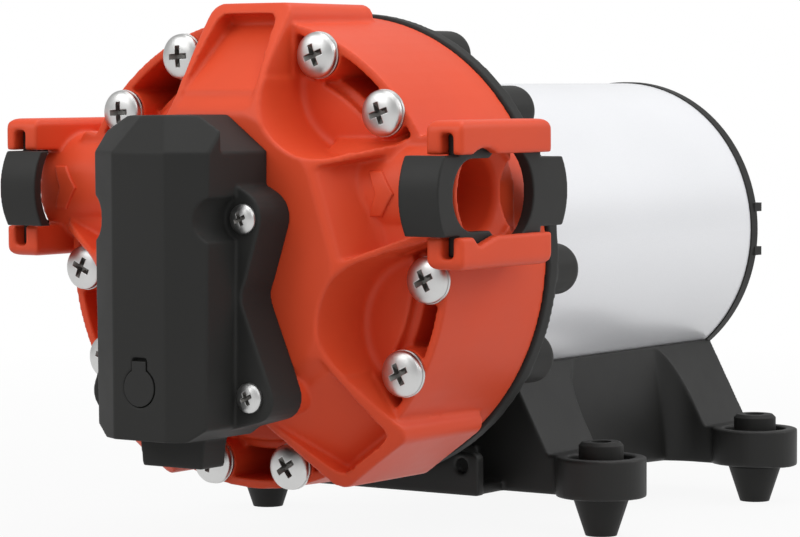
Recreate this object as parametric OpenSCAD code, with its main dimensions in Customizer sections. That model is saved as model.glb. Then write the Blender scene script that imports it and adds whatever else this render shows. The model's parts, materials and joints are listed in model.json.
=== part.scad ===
// Five-chamber diaphragm water pump for caravans: pump head, pressure switch, motor and footed base.
// Lengths are in millimetres. The origin is on the floor, at the middle of the four mounting holes.
// The motor axis runs along y: the pump head faces -y and the motor points to +y.
// Pieces are drawn from the head's own zero, where the axis meets the plane of the drum's front rim.

/* [Mounting] */
// Distance between the left and right mounting holes
mount_span = 96.2; // [92:0.1:102]
// Distance between the front and rear mounting holes
mount_length = 74.1; // [72:0.1:78]
// Height of the motor axis above the floor
axis_height = 66.7; // [65.5:0.1:70]
// Distance from the drum's front rim back to the front mounting holes
hole_setback = 68.75; // [68:0.05:72]
// Diameter of the hole through each rubber foot
mount_hole_d = 4.8; // [4:0.1:5.5]

/* [Drum and arms] */
// Diameter of the drum at its front rim
drum_front_d = 103.8; // [103:0.1:106]
// Diameter of the drum at its back edge
drum_back_d = 105.8; // [105:0.1:108]
// Depth of the drum, front rim to back edge
drum_depth = 37.7; // [36:0.1:40]
// Wall of the drum around the screw slots
rim_wall = 2; // [1.6:0.1:2.4]
// Height of the flat hub in front of the rim
hub_height = 15; // [14:0.1:16]
// Radius of the flat hub
hub_r = 32.2; // [31.5:0.1:33]
// Width of each of the five arms at its outer end
arm_w = 22.4; // [21.5:0.1:23.4]
// Reach of the arms from the axis
arm_reach = 55.3; // [54.8:0.1:56]
// How far back the ends of the arms run along the drum
arm_depth = 31; // [27:0.1:33]
// Width of the two ribs along an arm
rib_w = 3; // [2.6:0.1:3.4]
// Depth of the tray between the ribs at the arm's outer end
tray_depth = 5; // [4:0.1:6]
// Distance from the axis to the inner end of a petal pocket
petal_inner_r = 30.3; // [30:0.1:31.2]
// Depth of the pocket floor behind the rim
petal_floor = 2.5; // [2:0.1:3]
// Fillet round the pocket floor
petal_fillet = 1.6; // [1:0.1:3]
// Radius at which the pocket floor steps down to its ledge
ledge_r = 41.5; // [41:0.1:42]
// Width of the ledge
ledge_w = 2; // [1.6:0.1:2.4]
// Depth of the ledge below the pocket floor
ledge_drop = 2.3; // [1.8:0.1:3]
// Depth of the slots between the screw bosses
slot_depth = 19; // [16:0.1:20]

/* [Cover screws] */
// Radius of the circle of the ten cover screws
screw_circle_r = 47.5; // [47:0.1:47.8]
// Angle from a pocket's middle to each of its two screws
screw_half_angle = 12.93; // [12:0.01:14]
// Diameter of a screw's shank
screw_d = 4.8; // [4:0.1:5]
// Diameter of a screw's pan head
screw_head_d = 10; // [9:0.1:10.4]
// Height of a screw's pan head
screw_head_h = 2.3; // [2:0.1:2.8]
// Thickness of a washer under the head
washer_t = 0.6; // [0.4:0.1:1]
// Diameter of the boss round a screw
screw_boss_d = 10.6; // [10:0.1:11]

/* [Ports] */
// How far the ends of the ports stand out past the drive housing's flange
port_reach = 8.9; // [8.7:0.1:10.5]
// Distance of the port axis behind the rim
port_back = 7; // [6.5:0.1:7.5]
// Height of the port axis above the motor axis
port_rise = 14.1; // [13.8:0.1:14.4]
// Diameter of the socket that takes a fitting
socket_d = 16.8; // [16:0.1:17]
// Depth of the socket from the barrel's end face
socket_depth = 16; // [14:0.1:17]
// Diameter of the passage behind the socket
passage_d = 14; // [12:0.1:15]
// Outside diameter of the barrel
barrel_d = 24.8; // [24.2:0.1:25.4]
// Width of the clip frame along the port axis
frame_w = 9; // [8.8:0.1:9.4]
// Reach of the frame in front of the rim
frame_front = 10.7; // [10:0.1:11.5]
// Length of the frame, front to back
frame_length = 35.3; // [34:0.1:37]
// Height of the clip frame
frame_h = 31.3; // [30.8:0.1:32]
// Gap between the frame's two jaws
jaw_gap = 17.2; // [16.9:0.1:17.4]
// Width of the slot that the clip slides in
clip_slot_w = 3.1; // [3:0.05:3.4]
// Depth of the slot into each jaw
clip_slot_depth = 4.5; // [4:0.1:5]
// Distance from the frame's end face to the slot
clip_slot_inset = 2.4; // [2.2:0.1:2.6]

/* [Port clips] */
// Thickness of the clip's plate
clip_t = 2.7; // [2.5:0.05:2.8]
// Clearance between the clip and what it slides past
clip_gap = 0.3; // [0.2:0.05:0.4]
// Thickness of the curved pads at the clip's ends
pad_t = 2.4; // [2:0.1:2.6]
// Length of the pads along the port axis
pad_w = 10; // [9:0.1:10.2]
// Travel of the clip from open to locked
clip_travel = 7.2; // [7:0.1:7.5]
// Width of the keyhole's narrow part, which holds a fitting
keyhole_w = 15.3; // [15:0.1:16]
// Diameter of the keyhole's wide part, which lets a fitting through
keyhole_d = 20.8; // [20:0.1:21]

/* [Pressure switch] */
// Width of the switch housing
switch_w = 31; // [30:0.1:32]
// Width of the housing's flat front face
switch_face_w = 14; // [12:0.1:16]
// Distance of the front face from the hub
switch_depth = 24.8; // [24:0.1:26]
// Depth of the chamfers beside the front face
switch_chamfer = 4.5; // [3.5:0.1:5.5]
// Height of the switch housing
switch_h = 68.7; // [68:0.1:70]
// Distance from the motor axis down to the housing's lower end
switch_drop = 37.7; // [37:0.1:38.2]
// Thickness of the two mounting ears
ear_t = 10.8; // [9.5:0.1:11.5]
// Wall of the switch housing
switch_wall = 2.2; // [1.8:0.1:2.5]
// Distance from the motor axis down to the adjuster's axis
adjuster_drop = 26.4; // [26:0.1:27]
// Diameter of the adjusting screw
adjuster_d = 7.2; // [6.4:0.1:7.4]
// Travel of the switch plunger
plunger_travel = 1.5; // [1:0.1:1.8]
// Diameter of the switch screws' heads
switch_screw_head_d = 6.4; // [6:0.1:6.8]
// Diameter of the switch screws' shanks
switch_screw_d = 3; // [2.6:0.1:3.2]
// Width of the cable outlet's lower end
outlet_w = 16; // [15:0.1:17]
// Length of the cable outlet below the housing
outlet_l = 6.7; // [5:0.1:8]

/* [Pumping chambers] */
// Radius of the circle of the five chambers
chamber_circle_r = 25.5; // [25.3:0.1:25.8]
// Diameter of a chamber
chamber_d = 23.6; // [23:0.1:24]
// Depth of a chamber
chamber_depth = 6.5; // [6.2:0.1:6.8]
// Diameter of the valve plate
plate_d = 82.6; // [82.2:0.1:82.8]
// Thickness of the valve plate
plate_t = 10; // [9.6:0.1:10.5]
// Thickness of the diaphragm
diaphragm_t = 2.2; // [2:0.1:2.4]
// Diameter of a piston
piston_d = 17; // [16:0.1:17.2]
// Thickness of a piston
piston_t = 2; // [1.8:0.1:2.2]

/* [Wobble drive] */
// Tilt of the wobble plate, which sets the pistons' stroke
wobble_tilt = 4; // [3:0.1:4.5]
// Diameter of the wobble plate's hub
wobble_hub_d = 38; // [37:0.1:39]
// Outside diameter of the wobble bearing
wobble_bearing_d = 32; // [31:0.1:33]
// Bore of the wobble bearing
wobble_bearing_bore = 15; // [14:0.1:16]
// Width of the wobble bearing
wobble_bearing_w = 9; // [8.5:0.1:9.5]

/* [Motor] */
// Outside diameter of the motor can
can_d = 74.8; // [73:0.1:75.2]
// Wall of the motor can
can_wall = 2.2; // [1.8:0.1:2.5]
// Length of the motor can
can_length = 100.2; // [98:0.1:104]
// Depth of the drive housing behind its flange
housing_depth = 18.5; // [18:0.1:20]
// Thickness of the drive housing's flange
flange_t = 3.8; // [3.4:0.1:4.4]
// How far the drive housing's flange stands out past the drum
flange_lip = 0.7; // [0.6:0.1:1.3]
// Length of the screw lugs behind the flange
lug_length = 10.6; // [9:0.1:11.5]
// Diameter of the screw lugs
lug_d = 11.6; // [10:0.1:11.8]
// Thickness of the end cap behind the can
end_cap_t = 4.4; // [4:0.1:6]
// Diameter of the motor shaft
shaft_d = 8; // [7.5:0.1:8.5]
// Diameter of the rotor core
core_d = 50; // [48:0.1:50.4]
// Length of the rotor core
core_length = 45; // [42:0.1:48]
// Number of slots in the rotor core
core_slots = 10; // [8:1:12]
// Diameter of the commutator
commutator_d = 22; // [21:0.1:23]
// Outside diameter of the shaft bearings
bearing_d = 22; // [21:0.1:23]
// Width of the shaft bearings
bearing_w = 7; // [6.5:0.1:7.5]

/* [Base] */
// Height of the base's underside above the floor
base_clearance = 9; // [8:0.1:10]
// Width of the base at the cradle's edge
cradle_w = 50.6; // [49:0.1:52]
// Height of the cradle's edge above the floor
cradle_edge = 38.3; // [37.5:0.1:39]
// Wall of the base
base_wall = 3; // [2.5:0.1:3.5]
// Thickness of the foot bosses
foot_boss_t = 9.3; // [8.5:0.1:10]
// Diameter of the foot bosses
foot_boss_d = 21; // [20:0.1:22]
// Diameter of a rubber foot at the floor
foot_d = 7.3; // [7:0.1:8]
// Diameter of a rubber foot under its boss
foot_top_d = 13; // [12:0.1:14]
// Length of a leg along the pump
leg_length = 22; // [20:0.1:24]

/* [Hidden] */
$fn = 64;
// Overshoot of a cut past the face it opens
cut = 1;
// Clearance of a shaft or pin that turns in its hole
run_gap = 0.05;
// Clearance of a piece that sits fixed in its seat
seat_gap = 0.02;
// Clearance of a screw in its hole
screw_gap = 0.1;

// Places on the head
head_y = -(hole_setback + mount_length / 2);
arm_angles = [90, 18, -54, -126, 162];
free_arms = [90, -54, -126];
port_arms = [18, 162];
pocket_angles = [54, -18, -90, -162, 126];
half_step = 36;
drum_front_r = drum_front_d / 2;
drum_back_r = drum_back_d / 2;
rim_inner_r = drum_front_r - rim_wall;
dome_fall = 0.00754;
dome_offset = hub_height + dome_fall * hub_r * hub_r;
dome_steps = 12;
pocket_c = (petal_inner_r - arm_w / 2) / (1 - sin(half_step));
pocket_r = pocket_c - petal_inner_r;
pocket_draft = 0.6;
pocket_reach = 24;
arm_corner_r = 3;
tray_start = hub_r - 1.5;
tray_end_wall = 2.3;
tray_fillet = 3.5;
tray_corner_r = 3;
arm_inner_end = arm_reach - tray_end_wall;
boss_r = screw_boss_d / 2;

// Places on the ports
flange_r = drum_back_r + flange_lip;
port_end = flange_r + port_reach;
frame_x = port_end - frame_w;
frame_back = frame_length - frame_front;
slot_out = port_end - clip_slot_inset;
slot_in = slot_out - clip_slot_w;
barrel_end = slot_in;
barrel_r = barrel_d / 2;
barrel_lip = 1.2;
mouth_depth = 4;
mark_relief = 0.5;
jaw_half = jaw_gap / 2;
frame_top = frame_h / 2 + 0.15;
frame_bottom = -frame_h / 2 + 0.15;
frame_corner_r = 2.5;
frame_edge_r = 1.8;

// Stack of the pumping chambers, from the back of the drum forwards
spigot_l = 1.3;
diaphragm_back = drum_depth - spigot_l;
diaphragm_front = diaphragm_back - diaphragm_t;
plate_front = diaphragm_front - plate_t;
chamber_front = diaphragm_front - chamber_depth;
plate_r = plate_d / 2;
outlet_chamber_r = 18;
divider_t = 2.5;
divider_r = outlet_chamber_r + divider_t;
inlet_chamber_r = 39;
hub_cavity_r = petal_inner_r - 2.8;
front_wall_t = 3.5;
hub_wall_t = 5;
nutation_y = diaphragm_back - diaphragm_t / 2;
half_diaphragm = diaphragm_t / 2 + 0.05;

// Places on the drive and the motor
flange_back = drum_depth + flange_t;
can_front = flange_back + housing_depth;
can_back = can_front + can_length;
can_r = can_d / 2;
can_inner_r = can_r - can_wall;
shaft_r = shaft_d / 2;
housing_r = 41.4;
cavity_r = 38.5;
cavity_back = can_front - 5;
boss_wall = 3;
spigot_depth = 4;
lug_corner = 2;
front_bearing_y = cavity_back + 2;
cap_back = can_back + end_cap_t;
rear_bearing_y = can_back + 1 - bearing_w;
wobble_seat = 7;
core_front = can_front + 20;
core_back = core_front + core_length;
winding_l = 8;
commutator_y = core_back + winding_l + 1;
commutator_l = 14;
core_r = core_d / 2;
air_gap = 1;
magnet_l = core_length + 5;
bolt_circle_r = can_inner_r - 3.7;
bolt_d = 4;
brush_w = 6;
brush_l = 8;
brush_reach = 24;
brush_y = commutator_y + commutator_l / 2;
cap_r = can_r + 0.3;
lead_hole_r = 4.5;
lead_drop = 18;

// Places on the base
floor_z = -axis_height;
base_z = floor_z + base_clearance;
boss_top = base_z + foot_boss_t;
edge_z = floor_z + cradle_edge;
front_hole_y = hole_setback;
rear_hole_y = hole_setback + mount_length;
hole_x = mount_span / 2;
leg_front = -4;
leg_foot_x = 36;
leg_root_x = cradle_w / 2 - 1;
base_bottom_w = cradle_w + 3;
base_front = front_hole_y + leg_front;
base_back = rear_hole_y + leg_front + leg_length;
cradle_r = can_r + seat_gap;

// Points of an arc in a drawing
function arc(cx, cy, r, from, to, steps) =
    [for (i = [0:steps]) let (a = from + (to - from) * i / steps) [cx + r * cos(a), cy + r * sin(a)]];

// Front of the domed cover at a radius, as a distance behind the rim
function dome_y(r) = -dome_offset + dome_fall * r * r;

module at_head() {
    translate([0, head_y, axis_height]) children();
}

// Turns a piece drawn at the top of the head to an angle seen from the front
module turned(angle) {
    rotate([0, 90 - angle, 0]) children();
}

// Stretches a drawing of x and z between two values of y
module along_y(from, to) {
    translate([0, to, 0]) rotate([90, 0, 0]) linear_extrude(to - from) children();
}

// Stretches a drawing of y and z between two values of x
module along_x(from, to) {
    translate([from, 0, 0]) rotate([90, 0, 90]) linear_extrude(to - from) children();
}

// Turns a drawing of radius and y about the y axis
module about_y() {
    rotate([-90, 0, 0]) rotate_extrude() children();
}

module rod(r, from, to) {
    translate([0, from, 0]) rotate([-90, 0, 0]) cylinder(r = r, h = to - from);
}

module taper(r1, r2, from, to) {
    translate([0, from, 0]) rotate([-90, 0, 0]) cylinder(r1 = r1, r2 = r2, h = to - from);
}

module tube(outer, inner, from, to) {
    difference() {
        rod(outer, from, to);
        rod(inner, from - cut, to + cut);
    }
}

module rod_x(r, from, to) {
    translate([from, 0, 0]) rotate([0, 90, 0]) cylinder(r = r, h = to - from);
}

module block(low, high) {
    translate(low) cube(high - low);
}

// Repeats a piece for the inlet on the left and the outlet on the right
module both_ports() {
    for (side = [0, 1]) mirror([side, 0, 0]) children();
}

module at_cover_screws() {
    for (p = pocket_angles, s = [-1, 1])
        turned(p + s * screw_half_angle) translate([0, 0, screw_circle_r]) children();
}

module at_port() {
    translate([0, port_back, port_rise]) children();
}

module at_chambers() {
    for (p = pocket_angles) turned(p) translate([0, 0, chamber_circle_r]) children();
}

// The frame of the wobble plate, tilted about the middle of the diaphragm
module tilted() {
    translate([0, nutation_y, 0]) rotate([wobble_tilt, 0, 0]) children();
}

// Front cover

// Wall and floor of a petal pocket, as distance from its middle line and depth
module pocket_section() {
    foot = pocket_r - pocket_draft;
    polygon(concat(
        [[0, -hub_height - 4], [pocket_r, -hub_height - 4]],
        arc(foot - petal_fillet, petal_floor - petal_fillet, petal_fillet, 0, 90, 6),
        [[0, petal_floor]]
    ));
}

// Round inner corner, two straight sides along the arms and the floor between them
module pocket_void() {
    translate([0, 0, pocket_c]) {
        about_y() pocket_section();
        for (side = [0, 1]) mirror([side, 0, 0])
            rotate([0, half_step, 0]) linear_extrude(pocket_reach) pocket_section();
        along_y(-hub_height - 4, petal_floor)
            polygon([
                [0, 0],
                [pocket_reach * sin(half_step), pocket_reach * cos(half_step)],
                [-pocket_reach * sin(half_step), pocket_reach * cos(half_step)]
            ]);
    }
}

// Outline of a pocket at its floor
module pocket_outline() {
    foot = pocket_r - pocket_draft;
    tangent = [foot * cos(half_step), pocket_c - foot * sin(half_step)];
    far = tangent + pocket_reach * [sin(half_step), cos(half_step)];
    translate([0, pocket_c]) circle(foot);
    polygon([tangent, far, [-far.x, far.y], [-tangent.x, tangent.y]]);
}

module ring_band(inner, outer) {
    difference() {
        circle(outer, $fn = 128);
        circle(inner, $fn = 128);
    }
}

// Ledge and deep slots of a pocket, outside its floor
module pocket_steps() {
    along_y(-cut, petal_floor + ledge_drop) intersection() {
        pocket_outline();
        ring_band(ledge_r, ledge_r + ledge_w + cut);
    }
    along_y(-cut, slot_depth) intersection() {
        pocket_outline();
        ring_band(ledge_r + ledge_w, rim_inner_r);
    }
}

// Outline of an arm, drawn towards the top
module arm_outline() {
    half = arm_w / 2;
    translate([-half, 0]) square([arm_w, arm_reach - arm_corner_r]);
    translate([-half + arm_corner_r, 0]) square([arm_w - 2 * arm_corner_r, arm_reach]);
    for (s = [-1, 1])
        translate([s * (half - arm_corner_r), arm_reach - arm_corner_r]) circle(arm_corner_r, $fn = 48);
}

// Tray between an arm's two ribs: it falls smoothly from the hub, then runs straight to its outer end
module arm_tray(reach, fall, run, floor_end) {
    outer_w = arm_w / 2 - rib_w;
    inner_w = outer_w + 2.4;
    straight = reach - tray_corner_r;
    intersection() {
        along_y(-hub_height - 4, drum_depth) {
            polygon([
                [-inner_w, tray_start], [inner_w, tray_start], [outer_w, straight],
                [outer_w - tray_corner_r, reach], [tray_corner_r - outer_w, reach], [-outer_w, straight]
            ]);
            for (side = [-1, 1])
                translate([side * (outer_w - tray_corner_r), straight]) circle(tray_corner_r, $fn = 48);
        }
        along_x(-inner_w - cut, inner_w + cut) polygon(concat(
            [[-hub_height - 3, tray_start]],
            [for (i = [0:5]) let (t = i / 5)
                [-hub_height + fall * t * t * (3 - 2 * t), tray_start + run * t]],
            arc(floor_end - tray_fillet, reach - tray_fillet, tray_fillet, 20, 90, 5),
            [[-hub_height - 3, reach]]
        ));
    }
}

// Falls the upper rib of a port's arm into the barrel
module rib_fall() {
    rib_start = hub_r - 0.5;
    translate([0, 0, port_rise + 4]) linear_extrude(arm_w) polygon([
        [rib_start, dome_y(rib_start) - 6], [rib_start, dome_y(rib_start) + 2], [rib_start + 9.5, -0.1],
        [port_end, -0.1], [port_end, dome_y(rib_start) - 6]
    ]);
}

// Domed hub with its five arms, before the pockets are cut
module star_blank() {
    dome_edge = arm_reach + 3;
    intersection() {
        about_y() polygon(concat(
            [[0, -hub_height]],
            [for (i = [0:dome_steps])
                let (r = hub_r + (dome_edge - hub_r) * i / dome_steps) [r, dome_y(r)]],
            [[dome_edge, arm_depth], [0, arm_depth]]
        ), $fn = 128);
        union() {
            along_y(-hub_height - cut, arm_depth + cut) {
                circle(ledge_r - 1, $fn = 128);
                for (a = free_arms) rotate(a - 90) arm_outline();
            }
            along_y(-hub_height - cut, frame_back)
                for (a = port_arms) rotate(a - 90) arm_outline();
        }
    }
}

// Drum with its slots and screw bosses
module drum() {
    difference() {
        taper(drum_front_r, drum_back_r, 0, drum_depth, $fn = 128);
        difference() {
            union() {
                intersection() {
                    union() for (p = pocket_angles) turned(p) pocket_void();
                    rod(rim_inner_r - 0.5, -hub_height, drum_depth, $fn = 128);
                }
                for (p = pocket_angles) turned(p) pocket_steps();
            }
            at_cover_screws() rod(boss_r, 0, drum_depth);
        }
    }
}

// Barrel and frame of the outlet, and of the inlet when mirrored
module port_body() {
    at_port() {
        rod_x(barrel_r, hub_cavity_r - 6, barrel_end);
        frame_bar(jaw_half, frame_top);
        frame_bar(frame_bottom, -jaw_half);
        port_gusset(frame_top - 5);
        port_gusset(frame_bottom + 2);
    }
}

// One jaw of the frame, with round outer edges and corners
module frame_bar(low, high) {
    front = -frame_front - port_back;
    back = frame_back - port_back;
    intersection() {
        along_x(frame_x, port_end) round_bar(front, back, low, high, frame_corner_r);
        along_y(front - cut, back + cut) round_bar(frame_x, port_end, low, high, frame_edge_r);
    }
}

// Rectangle with its two corners away from the port axis rounded
module round_bar(from, to, low, high, r) {
    outward = high > 0 ? high - r : low + r;
    translate([from + r, low]) square([to - from - 2 * r, high - low]);
    translate([from, high > 0 ? low : outward]) square([to - from, high - low - r]);
    for (p = [from + r, to - r]) translate([p, outward]) circle(r, $fn = 48);
}

// Web between the drum and the back of a jaw
module port_gusset(z) {
    wall_r = rim_inner_r + 0.4;
    from = sqrt(wall_r * wall_r - pow(port_rise + z, 2));
    block([from, frame_back - port_back - 10, z], [frame_x + 1, frame_back - port_back - 0.5, z + 3]);
}

// Slots for the clip, the gap past the barrel's end and the detent notches
module port_cuts() {
    at_port() {
        block([slot_in, -60, -jaw_half - clip_slot_depth], [slot_out, 60, jaw_half + clip_slot_depth]);
        block([barrel_end, -60, -jaw_half], [port_end + cut, 60, jaw_half]);
        block([drum_back_r + 0.05, socket_d / 2 + barrel_lip, -jaw_half], [port_end + cut, 60, jaw_half]);
        translate([0, -port_back - 1.2, jaw_half + 1.3 - 9]) rod_x(9, slot_out - cut, port_end + cut);
        along_x(slot_out - cut, port_end + cut)
            polygon([
                [-port_back - 7, -jaw_half + cut], [-port_back - 3.7, -jaw_half - 2],
                [-port_back + 3.2, -jaw_half], [-port_back + 3.2, -jaw_half + cut]
            ]);
    }
}

// Socket of a port with its wide mouth
module port_socket() {
    bore_r = socket_d / 2;
    rim_r = bore_r + 0.55;
    bottom = barrel_end - socket_depth;
    rotate([0, 0, -90]) about_y() polygon([
        [0, bottom], [bore_r, bottom], [bore_r, barrel_end - mouth_depth],
        [rim_r, barrel_end - mouth_depth + 1.2], [barrel_r - 0.4, barrel_end],
        [barrel_r - 0.4, barrel_end + cut], [0, barrel_end + cut]
    ]);
}

// Raised chevron on the front of a barrel, pointing to +x
module flow_mark(tip_x) {
    end_w = 3.3;
    middle_w = 4.7;
    mark_half = 4.95;
    slant = 3.6;
    intersection() {
        at_port() rod_x(barrel_r + mark_relief, tip_x - 12, tip_x + 4);
        along_y(-frame_front, port_back) translate([tip_x, port_rise])
            polygon([
                [0, 0], [-slant, mark_half], [-slant - end_w, mark_half],
                [-middle_w, 0], [-slant - end_w, -mark_half], [-slant, -mark_half]
            ]);
    }
}

// Water spaces: outlet chamber in the middle, inlet chamber round it
module cover_cavity() {
    rod(outlet_chamber_r, -hub_height + hub_wall_t, plate_front + cut, $fn = 96);
    rod(plate_r + 0.1, plate_front, drum_depth + cut, $fn = 128);
    difference() {
        about_y() polygon([
            [divider_r, -hub_height + hub_wall_t + 1], [hub_cavity_r, -hub_height + hub_wall_t + 1],
            [hub_cavity_r, petal_floor + front_wall_t], [inlet_chamber_r, petal_floor + front_wall_t],
            [inlet_chamber_r, plate_front + cut], [divider_r, plate_front + cut]
        ]);
        at_port() rod_x(passage_d / 2 + 2.5, 0, inlet_chamber_r + 2);
        block([-5, -hub_height, -adjuster_drop - 5], [5, -hub_height + 12, -outlet_chamber_r]);
    }
    tube(divider_r + cut, outlet_chamber_r - cut, plate_front - 1, plate_front);
}

// Channel from the outlet chamber to the pressure switch
module pressure_tap() {
    tap_y = -hub_height + 5;
    translate([0, 0, -adjuster_drop]) rod(1.5, -hub_height - cut, tap_y + 1.5);
    translate([0, tap_y, -adjuster_drop]) cylinder(r = 1.5, h = adjuster_drop - outlet_chamber_r + 2);
}

switch_screw_places = [[17.5, 9.1], [-17.5, 9.1], [18.9, -28.7], [-18.9, -28.7]];

module at_upper_screws() {
    for (side = [-1, 1]) translate([side * switch_screw_places[0].x, 0, switch_screw_places[0].y]) children();
}

module at_switch_screws() {
    for (p = switch_screw_places) translate([p.x, 0, p.y]) children();
}

module front_cover() {
    color("tomato") at_head() difference() {
        union() {
            difference() {
                union() {
                    difference() {
                        star_blank();
                        for (p = pocket_angles) turned(p) pocket_void();
                    }
                    drum();
                }
                for (a = free_arms) turned(a)
                    arm_tray(arm_inner_end, 3.4, 5.5, dome_y(arm_inner_end) + tray_depth);
                for (a = port_arms) turned(a) arm_tray(arm_reach + 4, 11.5, 7, -3);
                both_ports() {
                    rib_fall();
                    at_port() block(
                        [pad_out - pad_w - clip_gap, -60, -jaw_half],
                        [port_end, -port_back - 0.4, jaw_half]
                    );
                }
            }
            at_switch_screws() rod(4.4, -hub_height + 0.1, 0);
            both_ports() port_body();
            flow_mark(port_end - 21.8);
            flow_mark(-port_end + 16.4);
        }
        cover_cavity();
        pressure_tap();
        both_ports() port_cuts();
        both_ports() at_port() port_socket();
        at_port() rod_x(passage_d / 2, outlet_chamber_r - 8, barrel_end);
        at_port() rod_x(passage_d / 2, -barrel_end, -divider_r - 2);
        at_cover_screws() rod(screw_d / 2 + screw_gap, -cut, drum_depth + cut);
        for (p = switch_screw_places)
            translate([p.x, 0, p.y])
                rod(switch_screw_d / 2 + screw_gap, -hub_height - cut, p.y > 0 ? -hub_height + 5.4 : -2);
    }
}

// Port clips

open_pad_c = -clip_travel;
pad_inner_r = barrel_r + mark_relief + clip_gap;
pad_half = jaw_half - clip_gap / 2;
pad_out = slot_out - (clip_slot_w - clip_t) / 2;
rear_pad_inner_r = 11.2;
rear_pad_c = 14.5;
rear_pad_half = 7.5;
keyhole_open_y = 3.9;
keyhole_narrow_y = -clip_travel - 2.25;
rail_front = -14.8;
rail_back = 17;

// Part of a circle between the clip's two edges, on the front or the rear side
module clip_segment(y, r, half, side) {
    intersection() {
        translate([y, 0]) circle(r, $fn = 96);
        translate([side > 0 ? y : y - 2 * r, -half]) square([2 * r, 2 * half]);
    }
}

// Curved pad of the clip, with its hollow side towards the port
module clip_pad(y, inner_r, half, side) {
    difference() {
        clip_segment(y, inner_r + pad_t, half, side);
        translate([y, 0]) circle(inner_r, $fn = 96);
    }
}

// Clip of the outlet at its open place, drawn from the port axis
module clip_shape() {
    rail_half = jaw_half + clip_slot_depth - clip_gap;
    along_x(pad_out - clip_t, pad_out) difference() {
        union() {
            translate([rail_front, -rail_half]) square([rail_back - rail_front, 2 * rail_half]);
            clip_segment(open_pad_c, pad_inner_r + pad_t / 2, pad_half, -1);
            clip_segment(rear_pad_c, rear_pad_inner_r + pad_t / 2, rear_pad_half, 1);
        }
        translate([keyhole_open_y, 0]) circle(keyhole_d / 2, $fn = 96);
        translate([keyhole_narrow_y, 0]) circle(keyhole_w / 2, $fn = 96);
        translate([keyhole_narrow_y, -keyhole_w / 2]) square([keyhole_open_y - keyhole_narrow_y, keyhole_w]);
    }
    along_x(pad_out - pad_w, pad_out) clip_pad(open_pad_c, pad_inner_r, pad_half, -1);
    along_x(max(pad_out - pad_w, flange_r + clip_gap), pad_out)
        clip_pad(rear_pad_c, rear_pad_inner_r, rear_pad_half, 1);
}

module outlet_clip() {
    color("dimgray") at_head() at_port() clip_shape();
}

module inlet_clip() {
    color("dimgray") at_head() at_port() mirror([1, 0, 0]) clip_shape();
}

// Cover screws

// Cross slot of a screw, cut into a head that faces -y and turned counter-clockwise
module cross_slot(span, width, depth, front, turn) {
    for (a = [0, 90]) rotate([0, a - turn, 0])
        block([-span / 2, front - cut, -width / 2], [span / 2, front + depth, width / 2]);
}

// Pan head between its front and the surface it sits on
module pan_head(d, h, back) {
    r = d / 2;
    about_y() polygon([
        [0, back], [r, back], [r, back - h * 0.5], [r * 0.97, back - h * 0.66], [r * 0.9, back - h * 0.78],
        [r * 0.78, back - h * 0.87], [r * 0.6, back - h * 0.94], [r * 0.35, back - h * 0.98], [0, back - h]
    ]);
}

// How far each cover screw's cross stands turned, in the order of the pockets
cross_turns = [18, 20, 27, 27, -12, 33, -25, -20, 3, 3];

module cover_screws() {
    head_back = -washer_t;
    tip = flange_back + lug_length - 2.5;
    color("gainsboro") at_head() for (i = [0:9]) {
        angle = pocket_angles[floor(i / 2)] + (i % 2 * 2 - 1) * screw_half_angle;
        turned(angle) translate([0, 0, screw_circle_r]) difference() {
            union() {
                pan_head(screw_head_d, screw_head_h, head_back);
                rod(screw_d / 2, head_back, tip);
            }
            cross_slot(5.4, 1.2, 1.5, head_back - screw_head_h, cross_turns[i] - angle);
        }
    }
}

module cover_washers() {
    color("silver") at_head() at_cover_screws()
        tube(screw_head_d / 2 + 0.15, screw_d / 2 + screw_gap, -washer_t, 0);
}

// Pressure switch

switch_back = -hub_height - seat_gap;
switch_front = switch_back - switch_depth;
ear_front = switch_back - ear_t;
switch_top = switch_h - switch_drop;
roof_eave = switch_top - 7.8;
counterbore_r = 5.2;
switch_half = switch_w / 2;
face_half = switch_face_w / 2;
bulb_r = 4;
bulb_neck = 1.85;

// Box of the switch seen from above, smaller by a wall
module switch_plan(inset) {
    polygon([
        [-switch_half + inset, switch_back + cut * sign(inset)],
        [-switch_half + inset, switch_front + switch_chamfer + inset * 0.4],
        [-face_half + inset * 0.3, switch_front + inset],
        [face_half - inset * 0.3, switch_front + inset],
        [switch_half - inset, switch_front + switch_chamfer + inset * 0.4],
        [switch_half - inset, switch_back + cut * sign(inset)]
    ]);
}

// Box of the switch seen from the front, a little narrower at its lower end
module switch_face(inset) {
    low_half = switch_half - 0.9 - inset;
    corner_w = 3.8;
    corner_h = 2.6;
    bottom = -switch_drop + inset;
    polygon([
        [corner_w - low_half, bottom], [low_half - corner_w, bottom], [low_half, bottom + corner_h],
        [switch_half - inset, roof_eave], [switch_half - inset, switch_top], [inset - switch_half, switch_top],
        [inset - switch_half, roof_eave], [-low_half, bottom + corner_h]
    ]);
}

// Cuts that slope the top of the switch box on its front, its chamfers and its sides
module roof_cuts(inset) {
    chamfer_angle = atan2(switch_chamfer, switch_half - face_half);
    chamfer_reach = face_half * sin(chamfer_angle) - switch_front * cos(chamfer_angle);
    slopes = [
        [0, -switch_front, 5.2], [chamfer_angle, chamfer_reach, 6.5], [-chamfer_angle, chamfer_reach, 6.5],
        [90, switch_half, 10.5], [-90, switch_half, 10.5]
    ];
    for (slope = slopes) rotate([0, 0, slope[0]]) along_x(-2 * switch_half, 2 * switch_half) polygon([
        [-slope[1] - cut, roof_eave - inset], [inset - slope[1], roof_eave - inset],
        [inset - slope[1] + slope[2], switch_top - inset], [cut - slope[1] + slope[2], switch_top + cut],
        [-slope[1] - cut, switch_top + cut]
    ]);
}

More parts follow.
